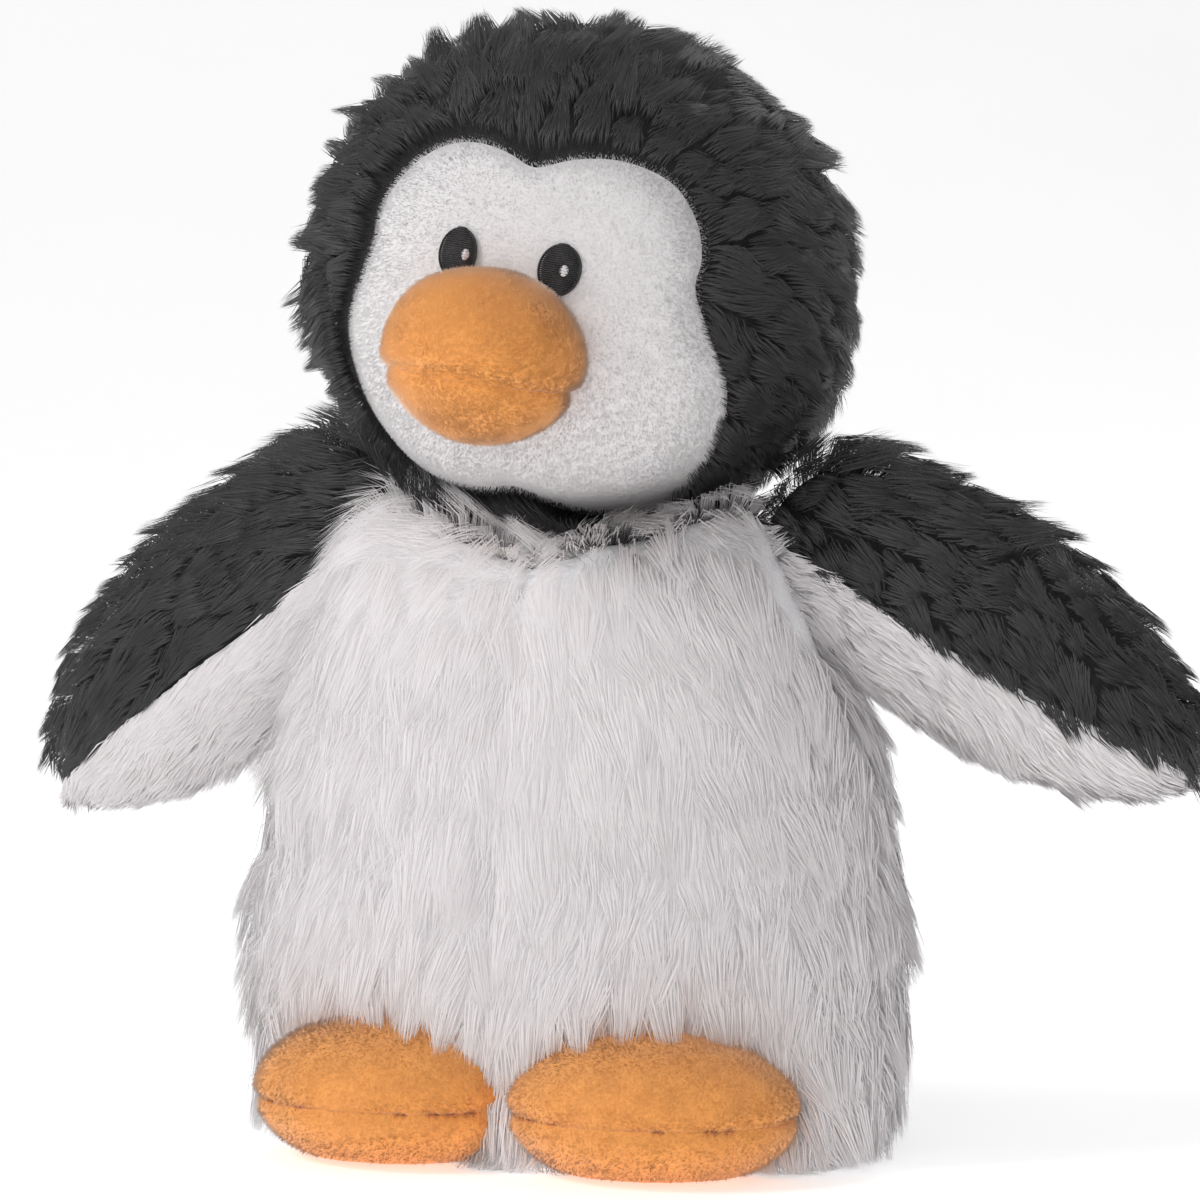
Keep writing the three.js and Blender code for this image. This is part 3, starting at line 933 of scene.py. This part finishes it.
class PENGUIN_OT_beak(bpy.types.Operator):
    """Makes the upper and lower beak, sewn along the mouth, with their nap."""

    bl_idname = "penguin.beak"
    bl_label = "Beak"

    centre = np.array([0, -61, -14.8]) * MM
    radii = np.array([22.6, 23, 19.4]) * MM
    mouth = -20 * MM

    def execute(self, context):
        bpy.ops.object.select_all(action="DESELECT")
        bpy.ops.mesh.primitive_uv_sphere_add(segments=72, ring_count=48, radius=1)
        form = bpy.context.object
        form.name = "beak_form"
        ball = coordinates(form)
        places = ball * self.radii + self.centre
        below = np.clip((self.mouth - places[:, 2]) / (10 * MM), 0, 1)
        places[:, 0] *= 1 - 0.05 * below
        places[:, 1] += 2.5 * MM * below * np.clip(-ball[:, 1], 0, 1)
        set_coordinates(form, places)
        smooth_shading(form)
        mouth_line = self.mouth + 0.8 * MM * np.cos(places[:, 0] / (8 * MM))
        press_groove(form, (places[:, 2] - mouth_line) * 1.2)
        wrinkle = drift(places, 9 * MM, 5)[:, :1]
        set_coordinates(form, coordinates(form) + normals(form) * 0.5 * MM * wrinkle)
        set_coordinates(form, from_head(coordinates(form)))
        everywhere = {
            "beak_upper": lambda p: in_head(p)[:, 2] > self.mouth,
            "beak_lower": lambda p: in_head(p)[:, 2] <= self.mouth,
        }
        matrix = np.array(head_matrix())
        cut = (from_head(np.array([[0, 0, self.mouth]]))[0], matrix[:3, 2])
        for number, (name, belongs) in enumerate(everywhere.items()):
            sew(form, f"{name}_skin", [cut], belongs, "head", "orange_pile", short_orange(),
                name)
            nap = short_nap(
                f"{name}_nap", form, (13000, 8000)[number],
                lambda p, b=belongs: b(p) & (in_head(p)[:, 1] < -50 * MM), self.comb, 0.45,
                91 + number)
            finish_fibres(nap, "head", "orange_pile", orange_nap())
        bpy.data.objects.remove(form)
        return {"FINISHED"}

    @staticmethod
    def comb(points, outward):
        """Fans out from the mouth, as a brushed nap lies."""
        local = in_head(points)
        flow = local * (1.0, 0.0, 1.2)
        flow[:, 2] += 21 * MM
        flow[:, 0] += 6 * MM
        return flow


# Eyes


class PENGUIN_OT_eyes(bpy.types.Operator):
    """Makes the embroidered eyes and their white highlights."""

    bl_idname = "penguin.eyes"
    bl_label = "Eyes"

    def execute(self, context):
        for side, sign in (("left", 1), ("right", -1)):
            centre = (sign * 12.3 * MM, 6.3 * MM)
            eye = self.stitched(f"eye_{side}_stitches", centre, (4.9 * MM, 5.9 * MM), 24, 1.2 * MM)
            finish_piece(eye, "head", "black_thread", black_thread(), f"eye_{side}")
            glint = (centre[0] + (1.8 - 0.5 * sign) * MM, centre[1])
            spot = self.stitched(f"highlight_{side}_stitches", glint, (0.95 * MM, 1.2 * MM), 4,
                                 2.3 * MM)
            finish_piece(spot, "head", "white_thread", white_thread(),
                         f"eye_highlight_{side}")
        return {"FINISHED"}

    def stitched(self, name, centre, radii, threads, height):
        """Threads side by side across an oval, with a corded edge round them."""
        bpy.ops.object.select_all(action="DESELECT")
        made = []
        pitch = 2 * radii[1] / threads
        for number in range(threads):
            across = -radii[1] + pitch * (number + 0.5)
            half = radii[0] * math.sqrt(1 - (across / radii[1]) ** 2)
            bpy.ops.mesh.primitive_uv_sphere_add(segments=12, ring_count=9, radius=1)
            thread = bpy.context.object
            ball = coordinates(thread)
            round_off = np.sqrt(np.maximum(0, 1 - ball[:, 2] ** 4))
            flat = np.stack([centre[0] + ball[:, 2] * half,
                             centre[1] + across + ball[:, 0] * pitch * 0.75], axis=1)
            set_coordinates(thread, self.raised(flat, ball[:, 1] * round_off * 0.7 * height))
            made.append(thread)
        bpy.ops.mesh.primitive_torus_add(
            major_segments=48, minor_segments=10, major_radius=1, minor_radius=0.05)
        cord = bpy.context.object
        ring = coordinates(cord)
        twist = 1 + 0.12 * np.sin(24 * np.arctan2(ring[:, 1], ring[:, 0]))
        flat = centre + ring[:, :2] * radii * 0.95
        set_coordinates(cord, self.raised(flat, ring[:, 2] * 12 * twist * 0.6 * height))
        made.append(cord)
        for thread in made:
            thread.select_set(True)
        bpy.context.view_layer.objects.active = made[0]
        bpy.ops.object.join()
        piece = bpy.context.object
        piece.name = name
        edit(piece)
        bpy.ops.mesh.normals_make_consistent(inside=False)
        leave_edit()
        smooth_shading(piece)
        return piece

    @staticmethod
    def raised(flat, lift):
        places = face_surface(flat, 1.9 * MM)
        places[:, 1] -= lift
        return from_head(places)


# Wings


def wing_axes(side):
    """The shoulder, and the directions along the wing, to its front and to its upper edge."""
    root = shoulder(side)
    places = coordinates(frame["nodes"][f"wing_{side}_stuffing"])
    tip = places[np.argmax(np.linalg.norm(places - root, axis=1))]
    along = unit(tip - root)
    hinge = np.array(JOINTS[f"wing_{side}_flap"]["axis"])
    front = hinge if hinge[1] < 0 else -hinge
    upper = np.cross(along, front)
    upper = upper if upper[2] > 0 else -upper
    return root, along, front, upper


def below_front(points, side):
    """Angle of each place about the wing, from its leading edge downwards."""
    root, _, front, upper = wing_axes(side)
    apart = points - root
    return np.arctan2(-apart @ upper, apart @ front)


class PENGUIN_OT_wings(bpy.types.Operator):
    """Makes the black and white panels of both wings and their pile."""

    bl_idname = "penguin.wings"
    bl_label = "Wings"

    # Along the wing, above its middle, and the extra length of the pile there
    stretch = {"left": (1.0, 1.08, 0.55), "right": (1.1, 1.42, 0.5)}

    def execute(self, context):
        for number, side in enumerate(("left", "right")):
            self.wing(side, 110 + 20 * number)
        return {"FINISHED"}

    def wing(self, side, seed):
        root, along, front, upper = wing_axes(side)
        form = copy_of_node(f"wing_{side}_form", f"wing_{side}_stuffing")
        stuff(form, 4 * MM, 1.2 * MM)
        longer, taller, shaggy = self.stretch[side]
        apart = coordinates(form) - root
        above = np.maximum(apart @ upper, 0)[:, None] * (taller - 1) * upper
        onward = (apart @ along)[:, None] * (longer - 1) * along
        set_coordinates(form, coordinates(form) + above + onward)
        white = lambda p: (below_front(p, side) > WHITE_FROM) & (below_front(p, side) < WHITE_TO)
        cuts = []
        for angle in (WHITE_FROM, WHITE_TO):
            edge = front * math.cos(angle) - upper * math.sin(angle)
            cuts.append((root, np.cross(along, edge)))
        body = f"wing_{side}"
        parts = (("back", lambda p: ~white(p), "black", 17000), ("front", white, "white", 11000))
        outside = lambda p: (p - root) @ along > -16 * MM
        locks = {"black": {"share": 0.018, "pull": 0.85, "reach": 9 * MM, "vary": 0.2},
                 "white": {"share": 0.018, "pull": 0.6, "reach": 8 * MM, "vary": 0.1}}

        def near_root(points):
            return np.clip(1 - (points - root) @ along / (75 * MM), 0, 1)

        def comb(points, outward):
            return along + 0.25 * DOWN + 0.5 * near_root(points)[:, None] * (upper - along)

        def length(points):
            above = np.clip((points - root) @ upper / (22 * MM), 0, 1)
            extra = shaggy * above * near_root(points)
            return settings("penguin_pile").wing_length * (0.9 + extra)

        def stand(points):
            above = np.clip((points - root) @ upper / (22 * MM), 0, 1)
            return 0.5 + 0.25 * above

        for number, (name, belongs, tone, count) in enumerate(parts):
            backing, pile, even = TONES[tone]
            sew(form, f"wing_{side}_{name}_skin", cuts, belongs, body, f"{tone}_pile", backing(),
                f"wing_{side}_{name}")
            fur = long_pile(
                f"wing_{side}_{name}_pile", form, count,
                lambda p, b=belongs: b(p) & outside(p), comb, length, stand, 0.1,
                locks[tone], seed + 5 * number, even=even)
            finish_fibres(fur, body, f"{tone}_pile", pile())
        bpy.data.objects.remove(form)


# Feet


class PENGUIN_OT_feet(bpy.types.Operator):
    """Makes the orange feet, each an upper and a sole sewn round the edge, with their nap."""

    bl_idname = "penguin.feet"
    bl_label = "Feet"

    def execute(self, context):
        for number, side in enumerate(("left", "right")):
            self.foot(side, 150 + 10 * number)
        return {"FINISHED"}

    def foot(self, side, seed):
        hinge = np.array(JOINTS[f"foot_{side}_lift"]["pos_m"])
        seam = hinge[2] - FOOT_SEAM_DROP
        form = copy_of_node(f"foot_{side}_form", f"foot_{side}_stuffing")
        stuff(form, 3 * MM, 2.6 * MM)
        places = coordinates(form)
        inner = np.sign(hinge[0])
        places = places + (places - hinge) * (0.09, 0.0, 0.08) - (inner * 1.3 * MM, 0, 0)
        places[:, 0] = inner * np.maximum(places[:, 0] * inner, 0.4 * MM)
        set_coordinates(form, places)
        press_groove(form, (places[:, 2] - seam) * 1.6)
        places = coordinates(form)
        places[:, 2] = np.maximum(places[:, 2], 1.2 * MM)
        set_coordinates(form, places)
        body = f"foot_{side}"
        cut = ((0, 0, seam), (0, 0, 1))
        parts = (("upper", lambda p: p[:, 2] > seam, 12000),
                 ("sole", lambda p: p[:, 2] <= seam, 5000))
        for number, (name, belongs, count) in enumerate(parts):
            sew(form, f"foot_{side}_{name}_skin", [cut], belongs, body, "orange_pile",
                short_orange(), f"foot_{side}_{name}")
            nap = short_nap(
                f"foot_{side}_{name}_nap", form, count,
                lambda p, b=belongs: b(p) & (p[:, 2] > 1.6 * MM),
                lambda p, n: np.tile(-BACK + 0.3 * DOWN, (len(p), 1)), 0.45, seed + number)
            finish_fibres(nap, body, "orange_pile", orange_nap())
        bpy.data.objects.remove(form)


# Label and fillings


class PENGUIN_OT_label(bpy.types.Operator):
    """Makes the blank woven label on the back."""

    bl_idname = "penguin.label"
    bl_label = "Label"

    def execute(self, context):
        label = copy_of_node("label", "care_label")
        apply_modifier(label, "BEVEL", width=0.15 * MM, segments=2)
        finish_piece(label, "torso", "label_ribbon", ribbon(), "care_label")
        return {"FINISHED"}


class PENGUIN_OT_fillings(bpy.types.Operator):
    """Makes the fibre fillings, drawn in from the skins round them, and gives the bean pouch its cloth."""

    bl_idname = "penguin.fillings"
    bl_label = "Fillings"

    def execute(self, context):
        inset = settings("penguin_sewing").fill_inset
        for body, names in frame["record"]["behaviour"]["bodies"].items():
            for name in names:
                if name.endswith("_stuffing"):
                    fill = copy_of_node(name.replace("_stuffing", "_fill"), name)
                    set_coordinates(fill, coordinates(fill) - inset * normals(fill))
                    finish_piece(fill, body, "fibre_fill", fibre_fill(), name)
        pouch = frame["nodes"]["bean_pouch"]
        pouch.data.materials.clear()
        pouch.data.materials.append(pouch_cloth())
        return {"FINISHED"}


# Stage


class PENGUIN_OT_stage(bpy.types.Operator):
    """Makes the floor, the lights and the camera."""

    bl_idname = "penguin.stage"
    bl_label = "Stage"

    def execute(self, context):
        scene = bpy.context.scene
        scene.view_settings.view_transform = "Standard"
        self.floor()
        self.lights(scene)
        self.camera(scene)
        return {"FINISHED"}

    @staticmethod
    def floor():
        """A floor that curves up into a backdrop."""
        bpy.ops.object.select_all(action="DESELECT")
        bpy.ops.mesh.primitive_grid_add(x_subdivisions=2, y_subdivisions=40, size=12)
        floor = bpy.context.object
        floor.name = "floor"
        places = coordinates(floor)
        past = np.maximum(places[:, 1] - 1.5, 0)
        places[:, 2] = 0.35 * past ** 2
        set_coordinates(floor, places)
        floor.data.transform(Matrix.Rotation(math.radians(25), 4, "Z"))
        smooth_shading(floor)
        material = cloth_material("studio_paper", (0.88, 0.88, 0.88), (0.9, 0.9, 0.9), 8, 0.0)
        shader = material.node_tree.nodes["Principled BSDF"]
        shader.inputs["Emission Color"].default_value = (1, 1, 1, 1)
        shader.inputs["Emission Strength"].default_value = 0.48
        floor.data.materials.append(material)

    @staticmethod
    def lights(scene):
        world = bpy.data.worlds.new("studio")
        scene.world = world
        world.use_nodes = True
        background = world.node_tree.nodes["Background"]
        background.inputs["Color"].default_value = (1.0, 0.98, 0.985, 1)
        background.inputs["Strength"].default_value = 0.36
        target = Vector((0, 0, 0.13))
        for name, place, size, power in (
            ("key", (-1.1, -1.1, 1.4), 0.8, 15),
            ("front", (0.5, -1.6, 0.6), 1.2, 5.5),
            ("back", (0.3, 1.5, 1.3), 1.2, 5),
        ):
            lamp = bpy.data.lights.new(name, "AREA")
            lamp.shape = "DISK"
            lamp.size = size
            lamp.energy = power
            light = bpy.data.objects.new(name, lamp)
            light.location = place
            light.rotation_euler = (target - Vector(place)).to_track_quat("-Z", "Y").to_euler()
            scene.collection.objects.link(light)

    @staticmethod
    def camera(scene):
        stage = settings("penguin_stage")
        lens = bpy.data.cameras.new("camera")
        lens.sensor_width = 36
        lens.lens = 36 * stage.distance / stage.view_width
        camera = bpy.data.objects.new("camera", lens)
        scene.collection.objects.link(camera)
        target = Vector((3 * MM, 0, 128 * MM))
        flat = math.cos(stage.elevation)
        towards = Vector((math.sin(stage.azimuth) * flat, -math.cos(stage.azimuth) * flat,
                          math.sin(stage.elevation)))
        camera.location = target + towards * stage.distance
        camera.rotation_euler = (-towards).to_track_quat("-Z", "Y").to_euler()
        scene.camera = camera


class PENGUIN_PT_sidebar(bpy.types.Panel):
    """Lists the penguin's operators and sizes."""

    bl_idname = "PENGUIN_PT_sidebar"
    bl_label = "Plush Penguin"
    bl_space_type = "VIEW_3D"
    bl_region_type = "UI"
    bl_category = "Penguin"

    def draw(self, context):
        for group in GROUPS:
            for name in group.__annotations__:
                self.layout.prop(getattr(context.scene, group_name(group)), name)
        for operator in OPERATORS:
            self.layout.operator(operator.bl_idname)


GROUPS = (PenguinPile, PenguinSewing, PenguinColours, PenguinStage)
OPERATORS = (
    PENGUIN_OT_body, PENGUIN_OT_hood, PENGUIN_OT_face, PENGUIN_OT_beak, PENGUIN_OT_eyes,
    PENGUIN_OT_wings, PENGUIN_OT_feet, PENGUIN_OT_label, PENGUIN_OT_fillings, PENGUIN_OT_stage,
)


def group_name(group):
    return "penguin_" + group.__name__.removeprefix("Penguin").lower()


def register():
    for group in GROUPS:
        bpy.utils.register_class(group)
        setattr(bpy.types.Scene, group_name(group), bpy.props.PointerProperty(type=group))
    for item in (*OPERATORS, PENGUIN_PT_sidebar):
        bpy.utils.register_class(item)


def unregister():
    for item in reversed((*OPERATORS, PENGUIN_PT_sidebar)):
        bpy.utils.unregister_class(item)
    for group in reversed(GROUPS):
        delattr(bpy.types.Scene, group_name(group))
        bpy.utils.unregister_class(group)


def main():
    register()
    for operator in OPERATORS:
        category, name = operator.bl_idname.split(".")
        getattr(getattr(bpy.ops, category), name)()


if __name__ == "__main__":
    main()
